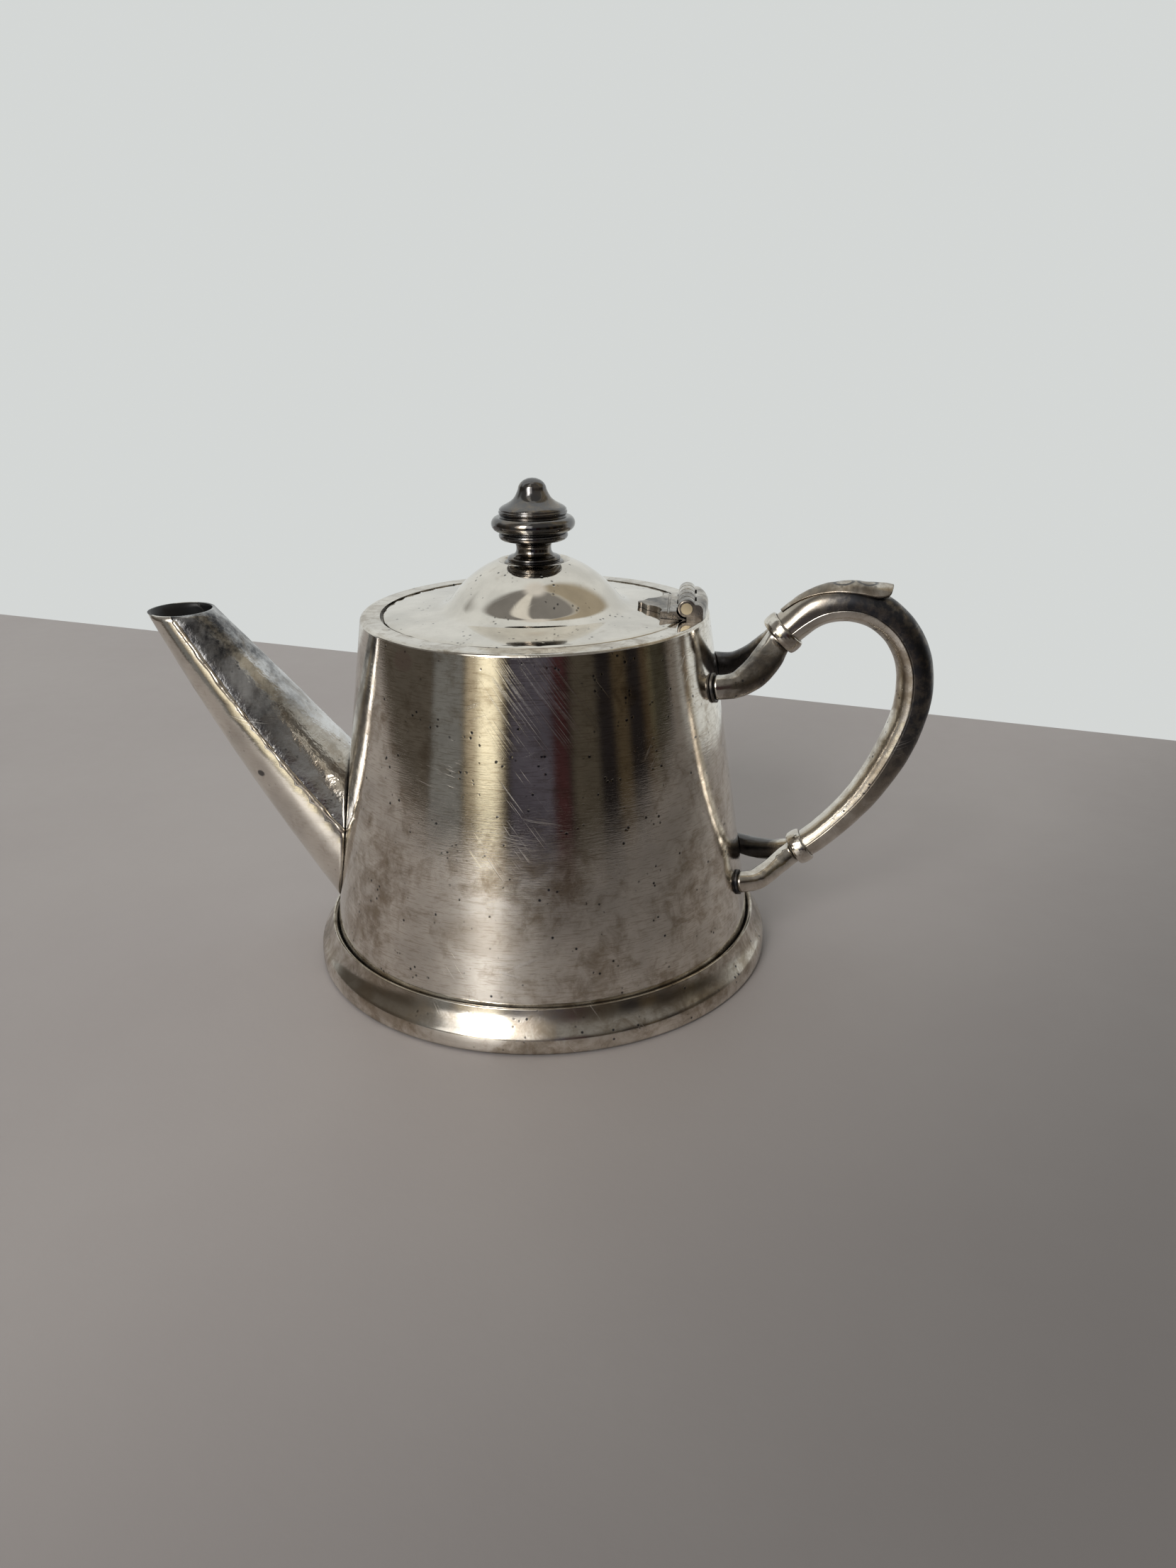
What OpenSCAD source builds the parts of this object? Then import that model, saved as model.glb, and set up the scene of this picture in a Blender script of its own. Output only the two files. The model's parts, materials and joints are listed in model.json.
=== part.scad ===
// Small silver teapot: tapered body on a skirted foot, straight two-shell spout,
// flush hinged lid with a turned finial, and a hollow loop handle on two forks.
// Millimetres. +Z is up, the origin is on the table at the middle of the foot,
// the spout points to -X and the handle to +X.

/* [Body] */
// Outer radius of the body wall at the foot ledge
base_r = 45.9; // [42:0.1:48]
// Outer radius of the body wall at the rim
rim_r = 35.9; // [33:0.1:39]
// Height of the rim above the table
rim_z = 75; // [70:0.5:85]
// Thickness of the body sheet
wall_t = 1.2; // [0.8:0.1:1.6]
// Radius of the rounded outer edge of the rim
rim_round = 0.8; // [0.3:0.1:1]
// Thickness of the base disc
base_t = 1.2; // [0.8:0.1:1.6]
// Height of the base disc's underside at its edge
base_z = 5.8; // [4:0.1:7]
// Rise of the base disc from its edge to its middle
base_dish = 1; // [0.4:0.1:2]

/* [Mouth ring] */
// Width of the flat rim, from the edge of the pot to the mouth that the lid drops into
rim_land = 4.1; // [3.6:0.1:6]
// Width of the rebate that the lid rests on
rebate_w = 1.6; // [1:0.1:2.4]
// Height of the mouth ring
mouth_ring_h = 2.7; // [2.2:0.1:4]

/* [Foot] */
// How far the foot ring stands out past the wall, at the table
foot_flare = 4.1; // [3.2:0.1:9]
// Height of the ledge where the foot ring meets the wall
ledge_z = 8.5; // [7:0.1:10]
// Width of the groove between the wall and the lip of the foot ring
ledge_gap = 0.8; // [0.4:0.1:1.2]
// Width of the foot ring's lip
foot_lip_w = 0.5; // [0.3:0.1:1]
// Height of the upright band at the bottom of the foot ring
foot_band_h = 3.3; // [2:0.1:4.5]
// Thickness of the foot ring's skirt
foot_t = 1.5; // [1:0.1:2]

/* [Spout] */
// Distance of the middle of the spout's mouth from the axis of the body
spout_x = 76.7; // [72:0.1:84]
// Height of the spout's mouth
spout_z = 74; // [68:0.5:84]
// Angle of the spout below the horizontal
spout_pitch = 56.1; // [52:0.1:60]
// Half height of the spout at its mouth, square to its run
spout_tip_r = 5.7; // [5:0.1:7]
// Width of the spout over its height
spout_oval = 1.24; // [1:0.02:1.3]
// Growth of the half height for each millimetre towards the body
spout_taper = 0.134; // [0.1:0.002:0.15]
// Curve of the underside, per millimetre squared
spout_sag = 0.00096; // [0.0008:0.00002:0.0012]
// Thickness of the spout sheet
spout_t = 1; // [0.7:0.1:1.3]
// Thickness of the spout sheet at its lip
spout_lip_t = 0.5; // [0.3:0.05:0.7]
// Angle of the side seams from the top of the spout, at its mouth
seam_a = 79; // [70:1:95]
// Rise of the side seams towards the root, as an angle
seam_rise = 13; // [0:1:20]
// Radius of the solder bead along each side seam
seam_r = 0.45; // [0.3:0.05:0.6]
// Radius of a strainer hole
strainer_r = 1.3; // [0.8:0.1:1.6]
// Distance between neighbouring strainer holes
strainer_pitch = 4.6; // [4:0.1:6]
// Height of the middle of the strainer
strainer_z = 27; // [24:0.5:30]
// Half height of the field of strainer holes
strainer_h = 13; // [8:0.5:14]
// Half width of the field of strainer holes
strainer_w = 9.5; // [6:0.5:11]

/* [Lid] */
// Gap between the lid and the mouth ring
lid_gap = 0.6; // [0.5:0.05:0.8]
// Thickness of the lid sheet
lid_t = 1.1; // [0.8:0.1:1.3]
// Gap between the closed lid and its rebate
lid_seat_gap = 0.15; // [0.05:0.05:0.3]
// Rise of the lid's flat part from its edge to the cove
lid_rise = 0.7; // [0:0.1:1]
// Radius at which the cove of the dome starts
cove_r = 21; // [20:0.5:22]
// Radius of the sphere that the dome is part of
dome_r = 21.1; // [20:0.1:22]
// Height of the dome's sphere above the rim, at its top
dome_h = 11.5; // [11:0.1:12.5]
// Radius of the flat seat sunk in the dome for the finial
seat_r = 6.9; // [6.8:0.1:7.6]
// Height of that seat above the rim
seat_h = 9; // [8.6:0.1:9.4]
// Depth of the bezel ring under the lid
bezel_h = 3; // [2:0.1:4]
// Thickness of the bezel ring
bezel_t = 0.8; // [0.6:0.1:1.2]

/* [Finial] */
// Radius of the finial's largest bead
finial_r = 8.5; // [7.5:0.1:10]
// Radius of the finial's base ring
finial_base_r = 6.1; // [5.8:0.1:6.6]
// Radius of the finial's neck
finial_neck_r = 3.55; // [3:0.05:4]
// Height of the finial above its seat
finial_h = 17.3; // [16.5:0.1:20]
// Radius of the stud under the finial
stud_r = 1.9; // [1.5:0.1:2.4]
// Length of the stud below the lid sheet
stud_l = 3.2; // [2.8:0.1:4]
// Width of the nut across its flats
nut_w = 6.4; // [6:0.1:7.5]
// Thickness of the nut
nut_t = 2; // [1.6:0.1:2.4]
// Outer radius of the washer under the nut
washer_r = 5; // [4:0.1:5.6]
// Thickness of the washer
washer_t = 0.6; // [0.4:0.1:0.8]

/* [Hinge] */
// Distance of the hinge pin inside the edge of the mouth
hinge_inset = 0.6; // [0.2:0.1:1.4]
// Height of the hinge pin above the rim
hinge_h = 2.2; // [2.1:0.1:3]
// Length of the hinge
hinge_l = 17.5; // [14:0.5:20]
// Radius of the hinge knuckles
knuckle_r = 1.8; // [1.7:0.05:2]
// Rounding of the knuckles' edges
knuckle_round = 0.3; // [0.1:0.05:0.4]
// Radius of the hinge pin
pin_r = 1.15; // [0.8:0.05:1.25]
// Running gap between the pin and the knuckles
pin_gap = 0.05; // [0.03:0.01:0.08]
// Gap between neighbouring knuckles
knuckle_gap = 0.15; // [0.1:0.05:0.3]
// Length of the lid's hinge leaf from the pin to its point
leaf_l = 10; // [8:0.5:12]
// Thickness of the lid's hinge leaf
leaf_t = 1.6; // [1.2:0.1:1.8]

/* [Handle] */
// Thickness of the handle's sheet
handle_t = 0.9; // [0.7:0.1:1.2]
// Share of the half thickness at which the two shells meet, inside the middle
handle_seam = 0.25; // [0.1:0.05:0.4]
// Width of a collar along the handle
collar_w = 3; // [2:0.1:4]
// Height of a collar's bead over the handle
collar_bead = 0.8; // [0.5:0.05:1.2]
// Gap between a collar and the handle in it
collar_gap = 0.12; // [0.05:0.01:0.2]
// How far a pad stands out past its prong
pad_rim = 0.25; // [0.1:0.05:0.5]
// Thickness of the pads between the prongs and the wall
pad_t = 0.5; // [0.3:0.1:1]
// Thickness of the thumb rest over the handle, at its lip
thumb_t = 1.7; // [1:0.1:2]

/* [Hidden] */

silver = [0.74, 0.72, 0.68];
dull_silver = [0.6, 0.58, 0.54];
dark_silver = [0.38, 0.37, 0.37];

// Facets of a full turn
round_fn = 96;
// A small distance that a cutting solid runs past what it cuts
past = 1;
// Solder film between two solids that are shaped to the same curve
film = 0.05;
// Steps of a search by halving
halvings = 26;
y_axis = [0, 1, 0];

// ---- Shared geometry ----

// Outer radius of the foot ring
foot_r = base_r + foot_flare;

// Slope of the body wall: loss of radius for each millimetre of height
wall_slope = (base_r - rim_r) / (rim_z - ledge_z);
function wall_r(z) = base_r - wall_slope * (z - ledge_z);
function wall_in_r(z) = wall_r(z) - wall_t;

// Radius of the mouth, and lid sizes that the mouth ring and the hinge also use
mouth_r = rim_r - rim_land;
lid_r = mouth_r - lid_gap;
lid_under_z = rim_z - lid_t;
rebate_r = mouth_r - rebate_w;
rebate_z = lid_under_z - lid_seat_gap;
bezel_r = rebate_r - lid_gap;
seat_z = rim_z + seat_h;
hinge_x = mouth_r - hinge_inset;
hinge_z = rim_z + hinge_h;

// Points of an arc in a profile, from angle a to angle b
function arc(centre, r, a, b, n) =
    [for (i = [0:n]) let (t = a + (b - a) * i / n) centre + r * [cos(t), sin(t)]];
function unit(v) = v / norm(v);
function mix(a, b, t) = a + (b - a) * t;
function flip(list) = [for (i = [len(list) - 1:-1:0]) list[i]];

// Smooth curve through a list of points of any size, n steps to a span
function catmull(a, b, c, d, t) =
    (2 * b + (c - a) * t + (2 * a - 5 * b + 4 * c - d) * t * t
    + (3 * b - a - 3 * c + d) * t * t * t) / 2;
function smooth(p, n) = let (k = len(p)) concat(
    [for (i = [0:k - 2], j = [0:n - 1])
        catmull(p[max(i - 1, 0)], p[i], p[i + 1], p[min(i + 2, k - 1)], j / n)],
    [p[k - 1]]);

// Point where the line from p along d meets the body wall grown by g
function wall_miss(p, g) = norm([p[0], p[1]]) - wall_r(p[2]) - g;
function to_wall(p, d, g, lo, hi, n = halvings) =
    n == 0 ? p + d * (lo + hi) / 2
    : let (m = (lo + hi) / 2)
        wall_miss(p + d * m, g) > 0 ? to_wall(p, d, g, m, hi, n - 1)
        : to_wall(p, d, g, lo, m, n - 1);

// Two triangles between four corners
function quad(a, b, c, d) = [[a, b, c], [a, c, d]];

// Solid through a list of rings, closed by a fan at each end
module loft(rings) {
    n = len(rings[0]);
    m = len(rings);
    middles = [for (ring = [rings[0], rings[m - 1]])
        [for (k = [0:2]) (max([for (p = ring) p[k]]) + min([for (p = ring) p[k]])) / 2]];
    polyhedron(
        points = concat([for (ring = rings, p = ring) p], middles),
        faces = concat(
            [for (j = [0:m - 2], i = [0:n - 1]) let (k = (i + 1) % n)
                each quad(j * n + i, j * n + k, (j + 1) * n + k, (j + 1) * n + i)],
            [for (i = [0:n - 1]) [m * n, (i + 1) % n, i]],
            [for (i = [0:n - 1])
                [m * n + 1, (m - 1) * n + i, (m - 1) * n + (i + 1) % n]]));
}

// Thick sheet between two grids of points of the same size
module sheet(outer, inner) {
    m = len(outer);
    n = len(outer[0]);
    o = m * n;
    polyhedron(
        points = concat([for (row = outer, p = row) p], [for (row = inner, p = row) p]),
        faces = concat(
            [for (j = [0:m - 2], i = [0:n - 2]) let (a = j * n + i)
                each quad(a, a + n, a + n + 1, a + 1)],
            [for (j = [0:m - 2], i = [0:n - 2]) let (a = o + j * n + i)
                each quad(a, a + 1, a + n + 1, a + n)],
            [for (j = [0:m - 2]) let (a = j * n)
                each quad(a, o + a, o + a + n, a + n)],
            [for (j = [0:m - 2]) let (a = j * n + n - 1)
                each quad(a, a + n, o + a + n, o + a)],
            [for (i = [0:n - 2]) each quad(i, i + 1, o + i + 1, o + i)],
            [for (i = [0:n - 2]) let (a = (m - 1) * n + i)
                each quad(a, o + a, o + a + 1, a + 1)]));
}

// Solid body cone, grown by g, from height a to height b
module wall_cone(g, a, b) {
    translate([0, 0, a])
        cylinder(h = b - a, r1 = wall_r(a) + g, r2 = wall_r(b) + g, $fn = round_fn);
}

// ---- Body ----

// Bottom edge of the body sheet, inside the foot ring
shell_z = base_z - 1;

// Rows of the strainer's hexagonal field
strainer_row = strainer_pitch * sqrt(3) / 2;
strainer_rows = ceil(strainer_h / strainer_row);
strainer_cols = ceil(strainer_w / strainer_pitch);

module strainer_holes() {
    for (i = [-strainer_rows:strainer_rows], j = [-strainer_cols:strainer_cols]) {
        y = (j + (i % 2 == 0 ? 0 : 0.5)) * strainer_pitch;
        z = i * strainer_row;
        if (pow(y / strainer_w, 2) + pow(z / strainer_h, 2) <= 1)
            translate([-wall_r(0) - past, y, strainer_z + z])
                rotate([0, 90, 0])
                    cylinder(h = wall_r(0) / 2, r = strainer_r, $fn = 24);
    }
}

module body_shell() {
    edge = [rim_r - rim_round, rim_z - rim_round];
    color(silver) difference() {
        rotate_extrude($fn = round_fn) polygon(concat(
            [[wall_in_r(shell_z), shell_z], [wall_r(shell_z), shell_z]],
            arc(edge, rim_round, 0, 90, 5),
            [[wall_in_r(rim_z), rim_z]]));
        strainer_holes();
    }
}

module mouth_ring() {
    bottom_z = rim_z - mouth_ring_h;
    color(silver) rotate_extrude($fn = round_fn) polygon([
        [rebate_r, bottom_z], [wall_in_r(bottom_z), bottom_z],
        [wall_in_r(rim_z), rim_z], [mouth_r, rim_z],
        [mouth_r, rebate_z], [rebate_r, rebate_z]]);
}

module base_disc() {
    top_z = base_z + base_t;
    steps = 8;
    under_r = wall_in_r(base_z);
    color(dull_silver) rotate_extrude($fn = round_fn) polygon(concat(
        [for (i = [0:steps]) let (t = i / steps)
            [under_r * t, base_z + base_dish * pow(cos(90 * t), 2)]],
        [for (i = [steps:-1:0]) let (t = i / steps)
            [wall_in_r(top_z) * t, top_z + base_dish * pow(cos(90 * t), 2)]]));
}

module foot_ring() {
    lip_in_r = base_r + ledge_gap;
    lip_out_r = lip_in_r + foot_lip_w;
    lip_round = foot_lip_w / 3;
    foot_round = 0.6;
    skirt_r = foot_r - foot_t;
    cove_sag = 0.3;
    steps = 6;
    seat_top = ledge_z - ledge_gap;
    color(silver) rotate_extrude($fn = round_fn) polygon(concat(
        arc([foot_r - foot_round, foot_round], foot_round, -90, 0, 4),
        [for (i = [0:steps]) let (t = i / steps)
            mix([foot_r, foot_band_h], [lip_out_r, ledge_z - lip_round], t)
            - cove_sag * sin(180 * t) * [1, 0.6]],
        arc([lip_out_r - lip_round, ledge_z - lip_round], lip_round, 30, 90, 3),
        [[lip_in_r, ledge_z], [wall_r(seat_top), seat_top], [wall_r(shell_z), shell_z],
            [wall_r(shell_z) + past / 2, shell_z - past / 2],
            [skirt_r, foot_band_h - past], [skirt_r, past / 3], [skirt_r + past / 3, 0]]));
}

// ---- Spout ----

spout_dir = [cos(spout_pitch), 0, -sin(spout_pitch)];
spout_up = [sin(spout_pitch), 0, cos(spout_pitch)];
spout_tip = [-spout_x, 0, spout_z];

// Half height of the spout at distance s from its mouth, a turns from the top
function spout_r(s, a) =
    spout_tip_r + spout_taper * s - spout_sag * s * s * (1 - cos(a)) / 2;

// Point of the spout's surface, moved inwards by t
function spout_at(s, a, t) = let (r = spout_r(s, a)) spout_tip + s * spout_dir
    + (r - t) * cos(a) * spout_up + (r * spout_oval - t) * sin(a) * y_axis;

// Distance along the spout at which the line at angle a crosses the mouth's plane
function mouth_s(a, t, lo = -12, hi = 12, n = halvings) =
    let (m = (lo + hi) / 2) n == 0 ? m
    : spout_at(m, a, t)[2] > spout_z ? mouth_s(a, t, m, hi, n - 1)
    : mouth_s(a, t, lo, m, n - 1);

// Distance along the spout at which that line meets the wall
function root_s(a, t, lo = 20, hi = 90, n = halvings) =
    let (m = (lo + hi) / 2) n == 0 ? m
    : wall_miss(spout_at(m, a, t), film) > 0 ? root_s(a, t, m, hi, n - 1)
    : root_s(a, t, lo, m, n - 1);

spout_rings = 12;
spout_sides = 18;

// Angle of the seam between the two shells at share f of the run
function seam_turn_at(f) = seam_a - seam_rise * f * f;

// One line along the spout, at share v of the way round from one seam to the other,
// moved inwards by t0 at the lip and by t1 from the next ring on. The upper shell
// lies between the seams over the top, the lower one below them.
function spout_line(upper, v, t0, t1) = let (
        a = function (f) let (e = seam_turn_at(f)) upper ? mix(-e, e, v) : mix(e, 360 - e, v),
        s0 = mouth_s(a(0), t0), s1 = root_s(a(1), t1))
    [for (j = [0:spout_rings]) let (f = j / spout_rings)
        spout_at(mix(s0, s1, f), a(f), j == 0 ? t0 : t1)];
function spout_grid(upper, t0, t1) =
    [for (i = [0:spout_sides]) spout_line(upper, i / spout_sides, t0, t1)];

module spout_half(upper) {
    sheet(spout_grid(upper, 0, 0), spout_grid(upper, spout_lip_t, spout_t));
}

module spout_upper_shell() {
    color(silver) spout_half(true);
}

module spout_lower_shell() {
    color(dull_silver) spout_half(false);
}

// Solder bead that lies on the outside of one seam, in a row of low lumps
module seam_bead(side) {
    sides = 8;
    rings = 2 * spout_rings;
    lumps = 500;
    flatness = 0.7;
    s0 = mouth_s(seam_turn_at(0), 0) + past;
    s1 = root_s(seam_turn_at(1), 0) - seam_r;
    loft([for (j = [0:rings]) let (
            f = j / rings, a = side * seam_turn_at(f), s = mix(s0, s1, f),
            r = seam_r * (0.75 + 0.25 * sin(lumps * f)),
            out = cos(a) * spout_up + sin(a) * y_axis, along = cross(spout_dir, out),
            c = spout_at(s, a, 0) + film * out)
        [for (i = [0:sides - 1]) let (t = 90 - 180 * i / (sides - 1))
            c + r * (sin(t) * along + flatness * cos(t) * out)]]);
}

module spout_seam_solder() {
    color(dull_silver) {
        seam_bead(1);
        seam_bead(-1);
    }
}

// ---- Hinge ----

knuckle_pitch = hinge_l / 5;
// Middle of each knuckle, counted from the near end
function knuckle_y(i) = -hinge_l / 2 + knuckle_pitch * (i + 0.5);

// Lies along Y with its middle at the origin
module along_y(l, r) {
    rotate([90, 0, 0]) cylinder(h = l, r = r, center = true, $fn = 48);
}

// Block with its lowest corner at a and its highest at b
module block(a, b) {
    translate(a) cube(b - a);
}

module knuckles(which) {
    half = (knuckle_pitch - knuckle_gap) / 2;
    corner = [knuckle_r - knuckle_round, half - knuckle_round];
    for (i = which) translate([hinge_x, knuckle_y(i), hinge_z])
        rotate([90, 0, 0]) rotate_extrude($fn = 48) polygon(concat(
            [[0, half], [0, -half]],
            arc([corner[0], -corner[1]], knuckle_round, -90, 0, 3),
            arc(corner, knuckle_round, 0, 90, 3)));
}

module pin_bore() {
    translate([hinge_x, 0, hinge_z]) along_y(hinge_l + 2 * past, pin_r + pin_gap);
}

// Room for the other leaf's knuckles to turn
module knuckle_room(which) {
    for (i = which) translate([hinge_x, knuckle_y(i), hinge_z])
        along_y(knuckle_pitch + knuckle_gap, knuckle_r + 2 * knuckle_gap);
}

lid_knuckles = [1, 3];
body_knuckles = [0, 2, 4];

module body_hinge_leaf() {
    half = hinge_l / 2 - knuckle_gap / 2;
    bar_top = hinge_z + knuckle_r * 0.45;
    bar_round = 1.2;
    outer_r = rim_r - rim_round / 2;
    color(silver) difference() {
        union() {
            knuckles(body_knuckles);
            intersection() {
                block([hinge_x, -half, rim_z], [rim_r + past, half, bar_top]);
                rotate_extrude($fn = round_fn) polygon(concat(
                    [[hinge_x - past, rim_z], [outer_r, rim_z]],
                    arc([outer_r - bar_round, bar_top - bar_round], bar_round, 0, 90, 5),
                    [[hinge_x - past, bar_top]]));
            }
        }
        pin_bore();
        knuckle_room(lid_knuckles);
        // The lid swings up inside the mouth, so the bar stays outside it
        translate([0, 0, rim_z - past]) cylinder(h = past, r = mouth_r, $fn = round_fn);
    }
}

module hinge_pin() {
    color(silver) translate([hinge_x, 0, hinge_z]) along_y(hinge_l + 0.1, pin_r);
}

// ---- Lid ----

// The dome is a sphere, met by a cove that is tangent to it and to the flat part
dome_c = rim_z + dome_h - dome_r;
cove_base = rim_z + lid_rise;
cove_lift = cove_base - dome_c;
cove_rr = (cove_r * cove_r + cove_lift * cove_lift - dome_r * dome_r)
    / (2 * (dome_r - cove_lift));
cove_c = [cove_r, cove_base + cove_rr];
cove_turn = atan2(cove_c[1] - dome_c, cove_c[0]);
// The dome ends in a small rounded step down to the finial's seat
seat_step = 0.5;
lip_turn = acos((seat_r + seat_step) / dome_r);
dome_steps = 10;

// Top line of the lid from its edge to its middle, moved down and in by t
function lid_line(t) = concat(
    [[cove_r, cove_base - t]],
    arc(cove_c, cove_rr + t, 270, 180 + cove_turn, 6),
    [for (i = [1:dome_steps]) let (a = mix(cove_turn, lip_turn, i / dome_steps))
        [0, dome_c] + (dome_r - t) * [cos(a), sin(a)]],
    [[seat_r - t / 2, seat_z + seat_step - t], [seat_r - seat_step - t / 2, seat_z - t],
        [0, seat_z - t]]);

module lid_plate() {
    edge_round = 0.3;
    color(silver) difference() {
        rotate_extrude($fn = round_fn) polygon(concat(
            [[lid_r, lid_under_z], [lid_r, rim_z - edge_round],
                [lid_r - edge_round, rim_z]],
            lid_line(0), flip(lid_line(lid_t))));
        translate([0, 0, seat_z - lid_t - past])
            cylinder(h = lid_t + 2 * past, r = stud_r + pin_gap, $fn = 32);
    }
}

module lid_bezel() {
    color(dull_silver) translate([0, 0, lid_under_z - bezel_h]) difference() {
        cylinder(h = bezel_h, r = bezel_r, $fn = round_fn);
        translate([0, 0, -past])
            cylinder(h = bezel_h + 2 * past, r = bezel_r - bezel_t, $fn = round_fn);
    }
}

// Outline of the lid's leaf seen from above, its point towards the finial
module leaf_outline() {
    w = hinge_l / 2 - knuckle_gap;
    shoulder = leaf_l * 0.52;
    scoop_r = leaf_l * 0.42;
    difference() {
        union() {
            translate([-shoulder, -w]) square([shoulder, 2 * w]);
            translate([-leaf_l + 0.9, 0]) circle(r = 0.9, $fn = 24);
            polygon([[-shoulder, -w], [-leaf_l + 0.9, -0.9], [-leaf_l + 0.9, 0.9],
                [-shoulder, w]]);
        }
        for (side = [-1, 1])
            translate([-shoulder - scoop_r * 0.94, side * (w - scoop_r * 0.35)])
                circle(r = scoop_r, $fn = 48);
    }
}

module lid_hinge_leaf() {
    foot_z = rim_z + film;
    top_z = foot_z + leaf_t;
    groove_r = 0.25;
    color(silver) difference() {
        union() {
            translate([hinge_x, 0, foot_z]) linear_extrude(leaf_t) leaf_outline();
            knuckles(lid_knuckles);
        }
        pin_bore();
        knuckle_room(body_knuckles);
        // The leaf's underside follows the top of the lid
        rotate_extrude($fn = round_fn) polygon([
            [0, rim_z - 2 * past], [lid_r + 2 * past, rim_z - 2 * past],
            [lid_r, rim_z + film], each lid_line(-film)]);
        translate([hinge_x - leaf_l * 0.36, 0, top_z])
            along_y(hinge_l + past, groove_r);
        // Nothing of the leaf reaches over the rim beside its knuckles
        block([hinge_x - knuckle_gap, -hinge_l, rim_z - past],
            [hinge_x + 2 * past, hinge_l, hinge_z - knuckle_r]);
    }
}

// ---- Finial ----

module finial() {
    n = finial_neck_r;
    b = finial_base_r;
    k = finial_r;
    crown_z = 15;
    color(dark_silver) rotate_extrude($fn = round_fn) translate([0, seat_z]) polygon(concat(
        [[0, -lid_t - stud_l], [stud_r, -lid_t - stud_l], [stud_r, 0], [b - 0.5, 0]],
        // Base: two small rings and a cove up to the neck
        arc([b - 0.45, 0.6], 0.45, -60, 75, 4),
        [[b - 0.9, 1.05]],
        arc([b - 1.05, 1.5], 0.4, -50, 80, 4),
        [for (i = [0:5]) let (t = i / 5)
            [mix(b - 1.35, n, sin(90 * t)), mix(2.1, 3.3, 1 - cos(90 * t))]],
        // Under the beads the neck flares out again
        [for (i = [0:4]) let (t = i / 4)
            [mix(n, k - 2.3, 1 - cos(90 * t)), mix(4, 5.2, sin(90 * t))]],
        // Small bead, big bead, groove and the edge of the cap
        arc([k - 2.3, 6.1], 0.85, -75, 60, 5),
        [[k - 1.6, 7]],
        arc([k - 1.5, 8.45], 1.5, -70, 70, 9),
        [[k - 1.85, 9.9], [k - 1.85, 10.2]],
        arc([k - 2, 10.7], 0.45, -60, 60, 5),
        // Bell-shaped cap: a flared rim and an egg-shaped crown
        smooth([[k - 1.7, 11.3], [k - 2.2, 11.8], [k - 3.2, 12.3], [k - 4.2, 12.9],
            [k - 4.95, 13.7], [k - 5.6, crown_z]], 2),
        [for (i = [1:5]) let (t = i / 5)
            [(k - 5.6) * cos(90 * t), mix(crown_z, finial_h, sin(90 * t))]]));
}

washer_z = seat_z - lid_t - washer_t;

module finial_washer() {
    color(dull_silver) translate([0, 0, washer_z]) difference() {
        cylinder(h = washer_t, r = washer_r, $fn = 48);
        translate([0, 0, -past])
            cylinder(h = washer_t + 2 * past, r = stud_r + pin_gap, $fn = 32);
    }
}

module finial_nut() {
    color(dull_silver) translate([0, 0, washer_z - nut_t]) difference() {
        cylinder(h = nut_t, r = nut_w / sqrt(3), $fn = 6);
        translate([0, 0, -past])
            cylinder(h = nut_t + 2 * past, r = stud_r + pin_gap, $fn = 32);
    }
}

// ---- Handle ----

// Middle line of the loop from the upper collar round to the lower one:
// distance from the wall, height, half thickness and half width
handle_points = [
    [14.3, 70.5, 3.6, 3.65], [19.4, 74.6, 3.7, 3.75], [23.9, 76.5, 3.75, 3.8],
    [28.8, 76.8, 3.75, 3.85], [33.5, 75.3, 3.7, 3.85], [37.6, 71.6, 3.65, 3.85],
    [39.9, 66.2, 3.7, 3.85], [40.1, 60, 3.8, 3.85], [38.2, 52.5, 3.7, 3.8],
    [33.6, 43.6, 3.7, 3.75], [27.8, 35.5, 3.35, 3.45], [21.6, 29.1, 3.1, 3.2],
    [16.6, 24.8, 3.05, 3.1], [13.2, 22.6, 2.95, 2.95]];
handle_steps = 4;
handle_line = smooth(
    [for (p = handle_points) [wall_r(p[1]) + p[0], p[1], p[2], p[3]]], handle_steps);
handle_last = len(handle_line) - 1;

// Direction of a middle line at its point i, in the plane of the loop
function heading(line, i) = unit(
    let (a = line[max(i - 1, 0)], b = line[min(i + 1, len(line) - 1)])
    [b[0] - a[0], 0, b[1] - a[1]]);

// Outward direction at point i: the loop runs clockwise seen from -Y
function outward(line, i) = let (h = heading(line, i)) [-h[2], 0, h[0]];

// Point of the handle's surface at point i, a degrees from the outermost line,
// moved in by t. The inner shell is flatter than the outer one.
function handle_at(i, a, t) = let (
        p = handle_line[i], ends = min(i, handle_last - i) / handle_steps,
        flat = mix(1, 0.72, min(ends, 1)),
        u = cos(a) >= 0 ? cos(a) : -pow(-cos(a), flat))
    [p[0], 0, p[1]] + (p[2] - t) * u * outward(handle_line, i)
    + (p[3] - t) * sin(a) * y_axis;

// Angle of the seam between the two shells
seam_turn = 90 + asin(pow(handle_seam, 1 / 0.72));
handle_sides = 12;

function handle_grid(a0, a1, t) = [for (k = [0:handle_sides])
    [for (i = [0:handle_last]) handle_at(i, mix(a0, a1, k / handle_sides), t)]];

module handle_outer_shell() {
    color(dark_silver) sheet(
        handle_grid(-seam_turn, seam_turn, 0), handle_grid(-seam_turn, seam_turn, handle_t));
}

module handle_inner_shell() {
    a0 = seam_turn;
    a1 = 360 - seam_turn;
    color(silver) sheet(handle_grid(a0, a1, 0), handle_grid(a0, a1, handle_t));
}

// The thumb rest lies along the top of the loop and ends in a lip that stands clear
thumb_from = 2;
thumb_to = 16;
thumb_cols = 8;
// Lift of the lip off the handle, per square of the share past its hinge line
thumb_lip = 14;
// Depth of the two hollows
hollow_d = 0.35;

// Share of the way along the thumb rest
function thumb_way(i) = (i - thumb_from) / (thumb_to - thumb_from);
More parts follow.
